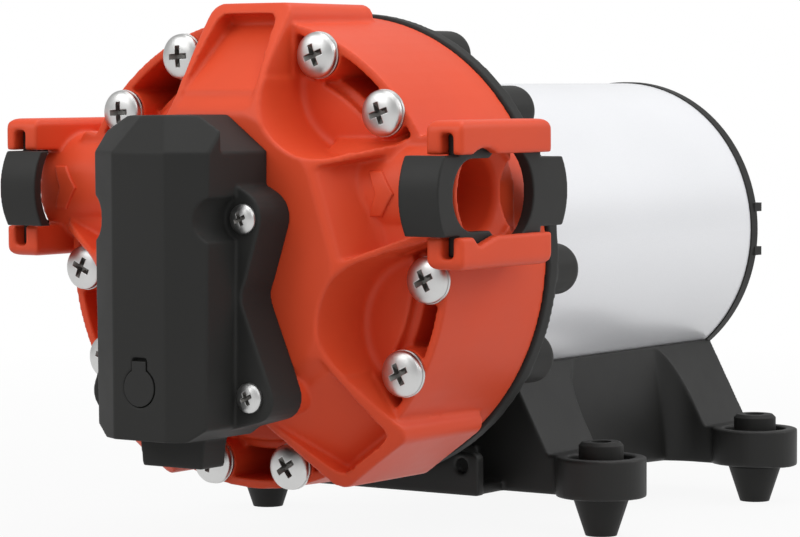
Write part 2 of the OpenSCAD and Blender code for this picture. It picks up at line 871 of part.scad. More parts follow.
module switch_box(inset) {
    difference() {
        intersection() {
            translate([0, 0, -switch_drop - cut]) linear_extrude(switch_h + cut - inset) switch_plan(inset);
            along_y(switch_front - cut, switch_back + 2 * cut) switch_face(inset);
        }
        roof_cuts(inset);
    }
}

module switch_ears() {
    side = concat(
        [[0, 15.5], [switch_half, 16]],
        arc(15.5, 9.2, 6, 62, -20, 6),
        [[17.6, -3.6]],
        arc(22.6, -7.5, 6.2, 168, 208, 3),
        [[22.6, -23.4]],
        arc(19.6, -29.2, 4.9, 24, -75, 6),
        [[13.8, -35.8], [0, -36.5]]
    );
    along_y(ear_front, switch_back) {
        polygon(side);
        mirror([1, 0]) polygon(side);
    }
}

// Outline of the bulb-shaped plug over the adjuster
module bulb_outline(grow, neck_l) {
    translate([0, -adjuster_drop]) circle(bulb_r + grow, $fn = 64);
    translate([-bulb_neck - grow, -adjuster_drop]) square([2 * (bulb_neck + grow), neck_l]);
}

neck_l = 5.6;
plug_t = 1.2;
boss_depth = 9;
outlet_back = switch_back - 6;
outlet_front = switch_back - 14;

// Half width of the cable outlet at a height
function outlet_half(z) = outlet_w / 2 + 0.9 * (z + switch_drop + outlet_l) / outlet_l;

module cable_outlet(inset, low, high) {
    low_half = outlet_half(low) - inset;
    top_half = outlet_half(high) - inset;
    along_y(outlet_front + inset, outlet_back - inset)
        polygon([[-low_half, low], [low_half, low], [top_half, high], [-top_half, high]]);
}

module switch_housing() {
    color("#3a3a38") at_head() difference() {
        union() {
            difference() {
                union() {
                    switch_box(0);
                    switch_ears();
                }
                switch_box(switch_wall);
            }
            intersection() {
                switch_box(0);
                union() {
                    translate([0, 0, -adjuster_drop]) rod(6.4, switch_front, switch_front + boss_depth);
                    at_upper_screws() rod(counterbore_r + 1.6, switch_front, switch_back);
                }
            }
            cable_outlet(0, -switch_drop - outlet_l, -switch_drop + 0.5);
        }
        cable_outlet(1.6, -switch_drop - outlet_l - cut, -switch_drop + switch_wall + cut);
        translate([0, 0, -adjuster_drop]) rod(adjuster_d / 2 + run_gap, switch_front - cut, switch_front + 12);
        along_y(switch_front - cut, switch_front + plug_t) bulb_outline(0.15, neck_l + 0.7);
        at_switch_screws() rod(switch_screw_d / 2 + screw_gap, ear_front - cut, 0);
        at_upper_screws() rod(counterbore_r, switch_front - cut, ear_front);
    }
}

module switch_screws() {
    color("lightgray") at_head() for (p = switch_screw_places)
        translate([p.x, 0, p.y]) difference() {
            union() {
                pan_head(switch_screw_head_d, 1.9, ear_front);
                rod(switch_screw_d / 2, ear_front, p.y > 0 ? -hub_height + 5 : -3);
            }
            cross_slot(3.4, 0.9, 1, ear_front - 1.9, 5);
        }
}

adjuster_back = switch_front + 8.4;
adjuster_front = adjuster_back - 5;

module adjuster_cap() {
    color("#333332") at_head() {
        along_y(switch_front - 0.1, switch_front + plug_t - 0.1) bulb_outline(0, neck_l);
        translate([0, 0, -adjuster_drop])
            rod(adjuster_d / 2 - 0.3, switch_front + plug_t - 0.1, adjuster_front - 0.4);
    }
}

module adjuster_screw() {
    color("goldenrod") at_head() translate([0, 0, -adjuster_drop]) difference() {
        rod(adjuster_d / 2, adjuster_front, adjuster_back);
        block([-cut - adjuster_d / 2, adjuster_front - cut, -0.6], [adjuster_d / 2 + cut, adjuster_front + 1.4, 0.6]);
    }
}

plunger_flange_t = 1.6;
membrane_t = 1.4;
plunger_back = switch_back - membrane_t - 0.1;
plunger_front = plunger_back - plunger_flange_t;

module switch_spring() {
    color("silver") at_head() translate([0, 0, -adjuster_drop])
        tube(3.3, 2.6, adjuster_back + 0.1, plunger_front - 0.1);
}

module switch_plunger() {
    color("white") at_head() translate([0, 0, -adjuster_drop]) {
        rod(6, plunger_front, plunger_back);
        rod(2.2, plunger_front - 4, plunger_back);
    }
}

module switch_diaphragm() {
    color("#222222") at_head() translate([0, 0, -adjuster_drop])
        rod(8.2, switch_back - membrane_t, switch_back);
}

module micro_switch() {
    low = -12;
    high = 8;
    terminal_y = switch_front + switch_depth / 2;
    color("#7a2f2a") at_head() {
        block([-3.3, switch_front + switch_wall + 3, low], [3.3, switch_back - 4, high]);
        for (z = [-9, -2, 5])
            block([3.3, terminal_y, z - 1.5], [8.3, terminal_y + 0.8, z + 1.5]);
        block([-3.3, switch_back - 4, high - 3], [3.3, switch_back, high - 1]);
        block([-3.3, switch_back - 4, low + 1], [3.3, switch_back, low + 3]);
    }
}

module cable_grommet() {
    inset = 1.6 + seat_gap;
    low = -switch_drop - outlet_l + 1;
    color("#1f1f1f") at_head() difference() {
        cable_outlet(inset, low, -switch_drop + switch_wall - 0.2);
        for (x = [-3, 3]) translate([x, (outlet_back + outlet_front) / 2, low - cut])
            cylinder(r = 1.1, h = outlet_l + switch_wall + 2 * cut);
    }
}

// Valves

inlet_valve_r = 27.5;
valve_hole_r = 1.3;
valve_hole_circle = 3.4;
outlet_hole_r = 15.6;
o_ring_r = 0.95;
groove_y = plate_front + 4;

module at_inlet_valves() {
    for (p = pocket_angles) turned(p) translate([0, 0, inlet_valve_r]) children();
}

module valve_plate() {
    color("whitesmoke") at_head() difference() {
        rod(plate_r, plate_front, diaphragm_front, $fn = 128);
        at_chambers() rod(chamber_d / 2, chamber_front, diaphragm_front + cut);
        at_inlet_valves() {
            rod(1.5, plate_front - cut, chamber_front + cut);
            for (a = [45, 135, 225, 315]) rotate([0, a, 0]) translate([0, 0, valve_hole_circle])
                rod(valve_hole_r, plate_front - cut, chamber_front + cut);
        }
        for (p = pocket_angles) turned(p) translate([0, 0, outlet_hole_r])
            rod(valve_hole_r, plate_front - cut, chamber_front + cut);
        rod(2.6, plate_front - cut, plate_front + 7);
        difference() {
            rod(plate_r + cut, groove_y, groove_y + 2.2, $fn = 128);
            rod(plate_r - 1.9, groove_y - cut, groove_y + 2.2 + cut, $fn = 128);
        }
    }
}

module inlet_valves() {
    color("#2d2d2d") at_head() at_inlet_valves() {
        rod(1.4, plate_front - 1.3, chamber_front + 1);
        rod(2.1, plate_front - 1.3, plate_front - 0.1);
        rod(5.3, chamber_front + 0.05, chamber_front + 1);
    }
}

module outlet_valve() {
    color("#2d2d2d") at_head() {
        rod(outlet_chamber_r - 0.8, plate_front - 1.2, plate_front - 0.05);
        rod(2.5, plate_front - 1.2, plate_front + 6);
    }
}

module valve_seal() {
    color("#222222") at_head()
        tube(divider_r - 0.1, outlet_chamber_r + 0.1, plate_front - 1 + seat_gap, plate_front - seat_gap);
}

module cover_seal() {
    color("#222222") at_head() about_y()
        translate([plate_r - 0.92, groove_y + 1.1]) circle(o_ring_r - 0.02, $fn = 24);
}

// Diaphragm, pistons and wobble drive

cup_r = piston_d / 2 + 0.8;
spigot_r = 3.5;
pad_l = 3.8;

module diaphragm() {
    color("#262626") at_head() {
        difference() {
            rod(plate_r, diaphragm_front + seat_gap, diaphragm_back, $fn = 128);
            at_chambers() rod(cup_r, diaphragm_front - cut, diaphragm_back + cut);
        }
        tilted() at_chambers() tube(cup_r + 0.5, spigot_r + 0.1, -diaphragm_t / 2, diaphragm_t / 2);
    }
}

module pistons() {
    color("ivory") at_head() tilted() at_chambers() difference() {
        rod(piston_d / 2, -half_diaphragm - piston_t, -half_diaphragm);
        rod(1.6, -half_diaphragm - piston_t - cut, 0);
        taper(3.1, 1.6, -half_diaphragm - piston_t, -half_diaphragm - piston_t + 1.5);
    }
}

module piston_screws() {
    top = -half_diaphragm - piston_t;
    color("silver") at_head() tilted() at_chambers() {
        taper(3, 1.5, top + 0.05, top + 1.55);
        rod(1.5, top + 0.05, half_diaphragm + 2.6);
    }
}

module wobble_plate() {
    hub_front = 3.4;
    hub_back = wobble_seat + wobble_bearing_w + 1;
    color("slategray") at_head() tilted() difference() {
        union() {
            rod(wobble_hub_d / 2, hub_front, hub_back);
            at_chambers() {
                rod(piston_d / 2, half_diaphragm, half_diaphragm + pad_l);
                rod(spigot_r, -half_diaphragm + 0.02, half_diaphragm);
            }
            for (p = pocket_angles) turned(p)
                block([-5.5, hub_front + 0.4, 0], [5.5, hub_front + 4.2, chamber_circle_r]);
            for (p = pocket_angles) turned(p)
                block([-1.5, hub_front + 3, wobble_hub_d / 2 - 2], [1.5, hub_front + 7.5, chamber_circle_r + 3]);
        }
        rod(wobble_bearing_d / 2 + seat_gap, wobble_seat, hub_back + cut);
        rod(wobble_bearing_d / 2 - 2.4, hub_front + 1.8, wobble_seat + cut);
        at_chambers() rod(1.6, -half_diaphragm - cut, half_diaphragm + 2.8);
    }
}

ball_r = 2.2;

// One ring of a ball bearing, with the groove that its balls run in
module bearing_ring(outer, inner, from, width, pitch) {
    difference() {
        tube(outer, inner, from, from + width);
        about_y() translate([pitch, from + width / 2]) circle(ball_r + 0.1, $fn = 32);
    }
}

module bearing_balls(pitch, from, width, count) {
    for (i = [0:count - 1]) rotate([0, 360 * i / count, 0])
        translate([0, from + width / 2, pitch]) sphere(ball_r, $fn = 24);
}

wobble_pitch = (wobble_bearing_d + wobble_bearing_bore) / 4;

module wobble_bearing_outer() {
    color("silver") at_head() tilted() {
        bearing_ring(wobble_bearing_d / 2, wobble_pitch + 1.3, wobble_seat, wobble_bearing_w, wobble_pitch);
        bearing_balls(wobble_pitch, wobble_seat, wobble_bearing_w, 9);
    }
}

module wobble_bearing_inner() {
    color("silver") at_head() tilted() bearing_ring(
        wobble_pitch - 1.3, wobble_bearing_bore / 2, wobble_seat, wobble_bearing_w, wobble_pitch);
}

module eccentric_cam() {
    back = wobble_seat + wobble_bearing_w;
    color("darkgray") at_head() difference() {
        tilted() {
            rod(wobble_bearing_bore / 2 - seat_gap, wobble_seat - 0.4, back);
            rod(wobble_bearing_bore / 2 + 2, back + seat_gap, back + 1.8);
            rod(wobble_bearing_bore / 2 - seat_gap, back - cut, back + 1.8);
        }
        rod(shaft_r + seat_gap, drum_depth, can_front);
    }
}

module at_motor_bolts() {
    for (s = [-1, 1]) translate([0, 0, s * bolt_circle_r]) children();
}

module drive_housing() {
    boss_outer = bearing_d / 2 + boss_wall;
    color("#343433") at_head() difference() {
        union() {
            rod(flange_r, drum_depth, flange_back, $fn = 128);
            rod(plate_r - 0.1, diaphragm_back, drum_depth, $fn = 128);
            rod(housing_r, flange_back - cut, flange_back + 9, $fn = 96);
            taper(housing_r, can_r + 1, flange_back + 9, can_front, $fn = 96);
            rod(can_inner_r - 0.1, cavity_back, can_front + spigot_depth, $fn = 96);
            at_cover_screws() {
                rod(lug_d / 2, flange_back - cut, flange_back + lug_length - lug_corner);
                about_y() polygon(concat(
                    [[0, flange_back + lug_length - lug_corner - 0.1]],
                    arc(lug_d / 2 - lug_corner, flange_back + lug_length - lug_corner, lug_corner, 0, 90, 4),
                    [[0, flange_back + lug_length]]
                ));
            }
        }
        rod(cavity_r, diaphragm_back - cut, cavity_back, $fn = 96);
        rod(bearing_d / 2 + seat_gap, front_bearing_y, front_bearing_y + bearing_w + 20);
        rod(shaft_r + 2.5, cavity_back - cut, can_front);
        difference() {
            rod(can_inner_r - 2.6, can_front, can_front + spigot_depth + cut);
            rod(boss_outer, can_front - cut, can_front + spigot_depth + 2 * cut);
            at_motor_bolts() rod(bolt_d / 2 + 2.4, can_front - cut, can_front + spigot_depth + 2 * cut);
        }
        at_cover_screws() rod(screw_d / 2 + screw_gap, drum_depth - cut, flange_back + lug_length - 2);
        at_motor_bolts() rod(bolt_d / 2 + screw_gap, cavity_back + 0.8, can_front + spigot_depth + cut);
    }
}

// Motor

// Ball bearing on the motor shaft, with both rings and its balls
module shaft_bearing(from) {
    pitch = (bearing_d + shaft_d) / 4;
    small_ball = 1.5;
    for (ring = [[bearing_d / 2, pitch + 1], [pitch - 1, shaft_r + run_gap]])
        difference() {
            tube(ring[0], ring[1], from, from + bearing_w);
            about_y() translate([pitch, from + bearing_w / 2]) circle(small_ball + 0.1, $fn = 32);
        }
    for (i = [0:6]) rotate([0, 360 * i / 7, 0])
        translate([0, from + bearing_w / 2, pitch]) sphere(small_ball, $fn = 24);
}

module front_bearing() {
    color("silver") at_head() shaft_bearing(front_bearing_y);
}

module rear_bearing() {
    color("silver") at_head() shaft_bearing(rear_bearing_y);
}

shaft_front = nutation_y + wobble_seat;

module motor_shaft() {
    color("silver") at_head() rod(shaft_r, shaft_front, rear_bearing_y + bearing_w - 0.4);
}

slot_w = 4.4;
slot_depth_in = 13;
slot_lip = 3;

module rotor_core() {
    color("#6d6d70") at_head() translate([0, core_front, 0]) difference() {
        rod(core_r, 0, core_length, $fn = 96);
        rod(shaft_r + seat_gap, -cut, core_length + cut);
        for (i = [0:core_slots - 1]) rotate([0, 360 * i / core_slots, 0]) {
            block([-slot_w / 2 - 0.1, -cut, core_r - slot_depth_in - 0.1],
                [slot_w / 2 + 0.1, core_length + cut, core_r - slot_lip + 0.1]);
            block([-0.8, -cut, core_r - slot_lip - cut], [0.8, core_length + cut, core_r + cut]);
        }
    }
}

module rotor_windings() {
    inner = core_r - slot_depth_in;
    outer = core_r - slot_lip;
    round = 3;
    color("#b5652b") at_head() {
        for (y = [core_front - winding_l, core_back + 0.05])
            about_y() polygon(concat(
                arc(outer - round, y + winding_l - round, round, 0, 90, 4),
                arc(inner + round, y + winding_l - round, round, 90, 180, 4),
                arc(inner + round, y + round - 0.05, round, 180, 270, 4),
                arc(outer - round, y + round - 0.05, round, 270, 360, 4)
            ));
        for (i = [0:core_slots - 1]) rotate([0, 360 * i / core_slots, 0])
            block([-slot_w / 2, core_front - 2, inner], [slot_w / 2, core_back + 2, outer]);
    }
}

module commutator() {
    r = commutator_d / 2;
    color("#c98a4b") at_head() difference() {
        rod(r, commutator_y, commutator_y + commutator_l);
        rod(shaft_r + seat_gap, commutator_y - cut, commutator_y + commutator_l + cut);
        for (i = [0:core_slots - 1]) rotate([0, 360 * (i + 0.5) / core_slots, 0])
            block([-0.3, commutator_y + 2, r - 1], [0.3, commutator_y + commutator_l + cut, r + cut]);
    }
}

module motor_can() {
    color("gainsboro") at_head() tube(can_r, can_inner_r, can_front, can_back, $fn = 128);
}

module magnets() {
    inner = core_r + air_gap;
    outer = can_inner_r - 0.05;
    reach = outer * 1.5;
    y = core_front - 2.5;
    half = 64;
    color("#4b4b50") at_head() for (side = [0, 1]) mirror([side, 0, 0]) intersection() {
        tube(outer, inner, y, y + magnet_l);
        along_y(y - cut, y + magnet_l + cut)
            polygon([[0, 0], [reach * cos(half), -reach * sin(half)], [reach, -reach * sin(half)],
                [reach, reach * sin(half)], [reach * cos(half), reach * sin(half)]]);
    }
}

holder_y = commutator_y + commutator_l - 1;
holder_t = 3;
tube_wall = 1.8;

module brush_holder() {
    r = commutator_d / 2;
    color("#4a3a2c") at_head() difference() {
        union() {
            tube(can_inner_r - 0.1, r + 2, holder_y, holder_y + holder_t);
            for (side = [0, 1]) mirror([side, 0, 0])
                block([r + 2, brush_y - brush_l / 2 - tube_wall, -brush_w / 2 - tube_wall],
                    [can_inner_r - 1.2, holder_y + cut, brush_w / 2 + tube_wall]);
        }
        for (side = [0, 1]) mirror([side, 0, 0])
            block([r, brush_y - brush_l / 2 - run_gap, -brush_w / 2 - run_gap],
                [can_inner_r - 2.6, brush_y + brush_l / 2 + run_gap, brush_w / 2 + run_gap]);
        at_motor_bolts() rod(bolt_d / 2 + 0.4, holder_y - cut, holder_y + holder_t + cut);
    }
}

module brushes() {
    color("#2b2b2e") at_head() for (side = [0, 1]) mirror([side, 0, 0]) difference() {
        block([0, brush_y - brush_l / 2, -brush_w / 2], [brush_reach, brush_y + brush_l / 2, brush_w / 2]);
        rod(commutator_d / 2 + run_gap, brush_y - brush_l, brush_y + brush_l);
    }
}

module brush_springs() {
    color("silver") at_head() for (side = [0, 1]) mirror([side, 0, 0])
        translate([0, brush_y, 0]) difference() {
            rod_x(2.6, brush_reach + 0.1, can_inner_r - 2.7);
            rod_x(2, brush_reach - cut, can_inner_r);
        }
}

module end_cap() {
    lip = 3;
    boss_outer = bearing_d / 2 + boss_wall;
    color("#2f2f2e") at_head() difference() {
        union() {
            rod(cap_r, can_back, cap_back - 1.2, $fn = 128);
            taper(cap_r, cap_r - 1.2, cap_back - 1.2, cap_back, $fn = 128);
            tube(can_inner_r - 0.1, can_inner_r - 3, can_back - lip, can_back);
            rod(boss_outer, rear_bearing_y, can_back + cut);
            for (side = [0, 1], z = [5.7, -5.5]) mirror([side, 0, 0])
                block([cap_r - 2.6, cap_back - 2.5, z - 1.1], [cap_r - 0.1, cap_back + 1, z + 1.1]);
        }
        rod(bearing_d / 2 + seat_gap, rear_bearing_y - cut, rear_bearing_y + bearing_w);
        at_motor_bolts() {
            rod(bolt_d / 2 + screw_gap, can_back - lip - cut, cap_back + cut);
            rod(3.9, cap_back - 2.6, cap_back + cut);
        }
        translate([0, 0, -lead_drop]) rod(lead_hole_r + seat_gap, can_back - cut, cap_back + cut);
    }
}

module motor_bolts() {
    color("silver") at_head() at_motor_bolts() {
        rod(bolt_d / 2, cavity_back + 1, cap_back - 2.6);
        rod(3.5, cap_back - 2.6, cap_back - 0.2, $fn = 6);
    }
}

module lead_grommet() {
    color("#1f1f1f") at_head() translate([0, 0, -lead_drop]) difference() {
        union() {
            rod(lead_hole_r, can_back + 0.1, cap_back + 1);
            taper(6, 4.6, cap_back + seat_gap, cap_back + 1.4);
        }
        for (x = [-1.9, 1.9]) translate([x, 0, 0]) rod(1.1, can_back - cut, cap_back + 3);
    }
}

// Base

// Section of the base across the pump, smaller by a wall
module base_section(inset) {
    top_half = cradle_w / 2 - inset;
    low_half = base_bottom_w / 2 - inset;
    polygon([
        [-low_half, base_z - cut * sign(inset)], [low_half, base_z - cut * sign(inset)],
        [top_half, edge_z], [-top_half, edge_z]
    ]);
}

// Slope of a leg from the cradle's edge down to the foot boss, smaller by a wall
module leg_section(inset) {
    polygon([
        [leg_root_x, base_z - cut * sign(inset)], [leg_foot_x - inset, base_z - cut * sign(inset)],
        [leg_foot_x - inset, boss_top - inset], [cradle_w / 2, edge_z - inset], [leg_root_x, edge_z - inset]
    ]);
}

// Ground plan of a leg from its foot hole, with fillets where it meets the side
module leg_plan(inset, front_fillet, back_fillet) {
    r = 8;
    side_x = cradle_w / 2;
    front = leg_front + inset;
    back = leg_front + leg_length - inset;
    translate([leg_root_x, front]) square([leg_foot_x - leg_root_x, back - front]);
    if (back_fillet) difference() {
        translate([side_x - 3, back - cut]) square([r + 3, r + cut]);
        translate([side_x + r, back + r]) circle(r, $fn = 64);
    }
    if (front_fillet) difference() {
        translate([side_x - 3, front - r]) square([r + 3, r + cut]);
        translate([side_x + r, front - r]) circle(r, $fn = 64);
    }
}

module leg(hole_y, front_fillet, back_fillet) {
    translate([0, hole_y, 0]) difference() {
        union() {
            intersection() {
                along_y(-30, 50) leg_section(0);
                translate([0, 0, base_z]) linear_extrude(60) leg_plan(0, front_fillet, back_fillet);
            }
            translate([0, 0, base_z]) linear_extrude(foot_boss_t) {
                translate([hole_x, 0]) circle(foot_boss_d / 2);
                polygon([
                    [leg_foot_x - 3, leg_front], [leg_foot_x + 2, leg_front],
                    [hole_x - 4.4, -foot_boss_d / 2 + 0.9], [hole_x, 0],
                    [hole_x - 1, foot_boss_d / 2], [leg_foot_x - 3, foot_boss_d / 2 + 2.5]
                ]);
            }
        }
        intersection() {
            along_y(-30, 50) leg_section(base_wall);
            translate([0, 0, base_z - cut]) linear_extrude(60) leg_plan(base_wall, false, false);
        }
        translate([hole_x, 0, base_z - cut]) cylinder(r = grommet_neck_r + 0.1, h = foot_boss_t + 2 * cut);
        translate([hole_x, 0, boss_top - grommet_sink]) cylinder(r = grommet_recess_r, h = grommet_sink + cut);
    }
}

grommet_neck_r = 4.2;
grommet_sink = 2.5;
grommet_recess_r = 7.65;
grommet_flange_r = 5.2;
grommet_top = boss_top + 3.4;

module base_box() {
    difference() {
        along_y(base_front, base_back) base_section(0);
        difference() {
            along_y(base_front + base_wall, base_back - base_wall) base_section(base_wall);
            rod(cradle_r + base_wall, base_front - cut, base_back + cut, $fn = 128);
            for (y = [front_hole_y + leg_length, rear_hole_y - 8])
                block([-40, y, -60], [40, y + base_wall, 0]);
        }
    }
}

// Plate under the drive housing, joined to the box by a floor and two webs
module base_nose() {
    nose_front = flange_back + lug_length + clip_gap;
    nose_top = -47.6;
    half = cradle_w / 2 - 0.6;
    r = 2;
    along_y(nose_front, nose_front + base_wall) difference() {
        union() {
            translate([-half, base_z]) square([2 * half, nose_top - base_z - r]);
            translate([-half + r, base_z]) square([2 * half - 2 * r, nose_top - base_z]);
            for (s = [-1, 1]) translate([s * (half - r), nose_top - r]) circle(r, $fn = 32);
        }
        for (s = [-1, 1]) translate([s * 20.2, -50.8]) circle(1.7, $fn = 32);
    }
    block([-half + 1, nose_front + 1, base_z], [half - 1, base_front + cut, base_z + 2.2]);
    for (s = [-1, 1])
        block([s * 15 - base_wall / 2, nose_front + 1, base_z], [s * 15 + base_wall / 2, base_front + cut, nose_top]);
}

module base() {
    color("#31312f") at_head() difference() {
        union() {
            base_box();
            base_nose();
            for (side = [0, 1]) mirror([side, 0, 0]) {
                leg(front_hole_y, false, true);
                leg(rear_hole_y, true, false);
            }
        }
        rod(cradle_r, base_front - cut, base_back + cut, $fn = 128);
        rod(cap_r + clip_gap, can_back - 0.5, base_back + cut, $fn = 128);
        at_base_screws() {
            translate([0, 0, -can_r - base_wall - cut]) cylinder(r = 2.1, h = base_wall + 3);
        }
        arch_r = 480;
        translate([-60, (front_hole_y + rear_hole_y + leg_length + leg_front) / 2 - 4, base_z + 0.9 - arch_r])
            rotate([0, 90, 0]) cylinder(r = arch_r, h = 120, $fn = 256);
    }
}

module at_base_screws() {
    for (y = [front_hole_y + 14, rear_hole_y + 4]) translate([0, y, 0]) children();
}

module rubber_feet() {
    bottom = floor_z;
    color("#262625") at_head() for (x = [-hole_x, hole_x], y = [front_hole_y, rear_hole_y])
        translate([x, y, 0]) rotate_extrude() polygon([
            [mount_hole_d / 2, bottom], [foot_d / 2, bottom],
            [foot_top_d / 2, base_z - 0.4], [foot_top_d / 2, base_z - seat_gap],
            [grommet_neck_r, base_z - seat_gap], [grommet_neck_r, boss_top - grommet_sink + seat_gap],
            [grommet_flange_r, boss_top - grommet_sink + seat_gap],
            [grommet_flange_r, grommet_top - 0.8], [grommet_flange_r - 0.8, grommet_top],
            [mount_hole_d / 2, grommet_top]
        ]);
}

module base_screws() {
    seat = -cradle_r - base_wall;
    color("silver") at_head() at_base_screws() {
        translate([0, 0, seat - 2]) cylinder(r = 4, h = 2 - seat_gap);
        translate([0, 0, seat - 1]) cylinder(r = 2, h = 1 + base_wall);
    }
}

front_cover();
inlet_clip();
outlet_clip();
cover_screws();
cover_washers();
switch_housing();
switch_screws();
adjuster_cap();
adjuster_screw();
switch_spring();
switch_plunger();
switch_diaphragm();
micro_switch();
cable_grommet();
valve_plate();
inlet_valves();
outlet_valve();
valve_seal();
cover_seal();
diaphragm();
pistons();
piston_screws();
wobble_plate();
wobble_bearing_outer();
wobble_bearing_inner();
eccentric_cam();
drive_housing();
front_bearing();
rear_bearing();
motor_shaft();
rotor_core();
rotor_windings();
commutator();
motor_can();
magnets();
brush_holder();
brushes();
brush_springs();
end_cap();
motor_bolts();
lead_grommet();
base();
rubber_feet();
base_screws();
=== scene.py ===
"""Looks of a caravan water pump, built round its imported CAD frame.

Blender's lengths are metres. The pump's own lengths are written in millimetres and multiplied by MM.
The floor, the camera and the lamps are placed in metres.
"""

import json
import math

import bmesh
import bpy
from mathutils import Matrix, Vector


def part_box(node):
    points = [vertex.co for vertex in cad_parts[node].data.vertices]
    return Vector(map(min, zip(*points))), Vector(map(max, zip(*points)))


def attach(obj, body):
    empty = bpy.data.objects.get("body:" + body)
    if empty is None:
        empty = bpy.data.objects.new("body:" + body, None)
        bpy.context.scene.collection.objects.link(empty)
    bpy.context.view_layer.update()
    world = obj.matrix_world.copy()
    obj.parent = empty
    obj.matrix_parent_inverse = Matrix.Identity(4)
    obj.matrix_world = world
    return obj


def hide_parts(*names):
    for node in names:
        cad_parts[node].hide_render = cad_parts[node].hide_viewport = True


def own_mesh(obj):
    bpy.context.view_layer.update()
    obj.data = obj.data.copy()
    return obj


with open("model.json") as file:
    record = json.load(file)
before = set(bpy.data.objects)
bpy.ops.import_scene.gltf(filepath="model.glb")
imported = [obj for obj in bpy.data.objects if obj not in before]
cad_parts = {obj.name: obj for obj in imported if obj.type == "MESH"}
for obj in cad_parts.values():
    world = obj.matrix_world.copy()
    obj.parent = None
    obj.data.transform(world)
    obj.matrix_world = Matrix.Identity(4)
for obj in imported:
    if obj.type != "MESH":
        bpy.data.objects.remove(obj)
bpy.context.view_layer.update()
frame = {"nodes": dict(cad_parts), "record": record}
nodes = frame["nodes"]

MM = 0.001

# Place of the pump head's own axes: its motor axis and the front plane of its drum
HEAD_AT = Vector((0, -105.8, 66.7)) * MM


# Shader helpers


class Shader:
    """A material's node tree, with short calls for the nodes used here."""

    def __init__(self, name):
        self.material = bpy.data.materials.new(name)
        self.material.use_nodes = True
        self.tree = self.material.node_tree
        self.bsdf = self.tree.nodes["Principled BSDF"]
        self.place = self.node("ShaderNodeTexCoord").outputs["Object"]

    def node(self, kind, **inputs):
        made = self.tree.nodes.new(kind)
        for key, value in inputs.items():
            self.feed(made.inputs[key.replace("_", " ")], value)
        return made

    def feed(self, socket, value):
        if isinstance(value, bpy.types.NodeSocket):
            self.tree.links.new(value, socket)
        else:
            socket.default_value = value

    def noise(self, scale, detail, stretch=None, rough=0.5):
        """Noise of about one feature per 1/scale metres, from 0 to 1."""
        place = self.place
        if stretch:
            mapping = self.node("ShaderNodeMapping", Vector=place, Scale=stretch)
            place = mapping.outputs["Vector"]
        made = self.node("ShaderNodeTexNoise", Vector=place, Scale=scale, Detail=detail, Roughness=rough)
        return made.outputs["Fac"]

    def span(self, value, low, high, to_low, to_high):
        made = self.node("ShaderNodeMapRange")
        for index, item in enumerate((value, low, high, to_low, to_high)):
            self.feed(made.inputs[index], item)
        return made.outputs["Result"]

    def mix(self, amount, first, second):
        made = self.tree.nodes.new("ShaderNodeMix")
        made.data_type = "RGBA"
        self.feed(made.inputs["Factor"], amount)
        self.feed(made.inputs["A"], first)
        self.feed(made.inputs["B"], second)
        return made.outputs["Result"]

    def bevel(self, radius):
        made = self.node("ShaderNodeBevel", Radius=radius)
        made.samples = 6
        return made.outputs["Normal"]

    def edges(self, radius):
        """1 along sharp edges and 0 on faces: how far a rounded normal turns away from the real one."""
        on_face = 0.995
        on_edge = 0.8
        geometry = self.node("ShaderNodeNewGeometry")
        dot = self.tree.nodes.new("ShaderNodeVectorMath")
        dot.operation = "DOT_PRODUCT"
        self.feed(dot.inputs[0], self.bevel(radius))
        self.feed(dot.inputs[1], geometry.outputs["Normal"])
        return self.span(dot.outputs["Value"], on_face, on_edge, 0.0, 1.0)

    def bump(self, height, distance, strength, normal):
        made = self.node(
            "ShaderNodeBump", Height=height, Distance=distance, Strength=strength, Normal=normal)
        return made.outputs["Normal"]

    def set(self, **inputs):
        for key, value in inputs.items():
            self.feed(self.bsdf.inputs[key.replace("_", " ")], value)


def linear(red, green, blue):
    """Linear colour from an sRGB one written 0 to 255."""

    def one(value):
        value /= 255
        return value / 12.92 if value <= 0.04045 else ((value + 0.055) / 1.055) ** 2.4

    return (one(red), one(green), one(blue), 1.0)


def scaled(color, factor):
    return tuple(min(c * factor, 1.0) for c in color[:3]) + (1.0,)


def moulded(name, color, rough, grain_mm, grain_depth_mm, edge_highlight_lift, edge_mm=0.5, specular=0.5):
    """Moulded plastic: cloudy colour, smudged gloss, fine grain, and a painted highlight that makes it paler
    along its edges.
    """
    s = Shader(name)
    cloud = s.noise(scale=28, detail=4)
    base = s.mix(s.span(cloud, 0.3, 0.7, 0, 1), scaled(color, 0.95), scaled(color, 1.05))
    edge = s.edges(edge_mm * MM)
    # Painted highlight: the colour is lifted along sharp edges, where light would catch them, broken up by
    # noise.
    painted_edge_highlight = s.node("ShaderNodeMath", Value=edge)
    painted_edge_highlight.operation = "MULTIPLY"
    s.feed(painted_edge_highlight.inputs[1], s.span(s.noise(scale=260, detail=5), 0.4, 0.62, 0.25, 1))
    s.set(Base_Color=s.mix(painted_edge_highlight.outputs["Value"], base, scaled(color, edge_highlight_lift)))
    smudge = s.noise(scale=55, detail=6, rough=0.65)
    s.set(Roughness=s.span(smudge, 0.25, 0.75, rough - 0.05, rough + 0.07))
    grain = s.noise(scale=1 / (grain_mm * MM), detail=2)
    s.set(Normal=s.bump(grain, grain_depth_mm * MM, strength=0.6, normal=s.bevel(edge_mm * MM)))
    s.set(Specular_IOR_Level=specular)
    return s.material


def metal(name, color, rough, brush=None):
    """Bare or plated metal with fine scratches, which brush can draw out round the motor's axis."""
    edge_mm = 0.25
    scratch_mm = 0.002
    s = Shader(name)
    cloud = s.noise(scale=90, detail=4)
    s.set(Metallic=1.0)
    s.set(Base_Color=s.mix(s.span(cloud, 0.3, 0.7, 0, 1), scaled(color, 0.95), scaled(color, 1.03)))
    scratch = s.noise(scale=500, detail=3, stretch=brush, rough=0.6)
    s.set(Roughness=s.span(scratch, 0.3, 0.7, rough - 0.04, rough + 0.08))
    s.set(Normal=s.bump(scratch, scratch_mm * MM, strength=0.3, normal=s.bevel(edge_mm * MM)))
    return s.material


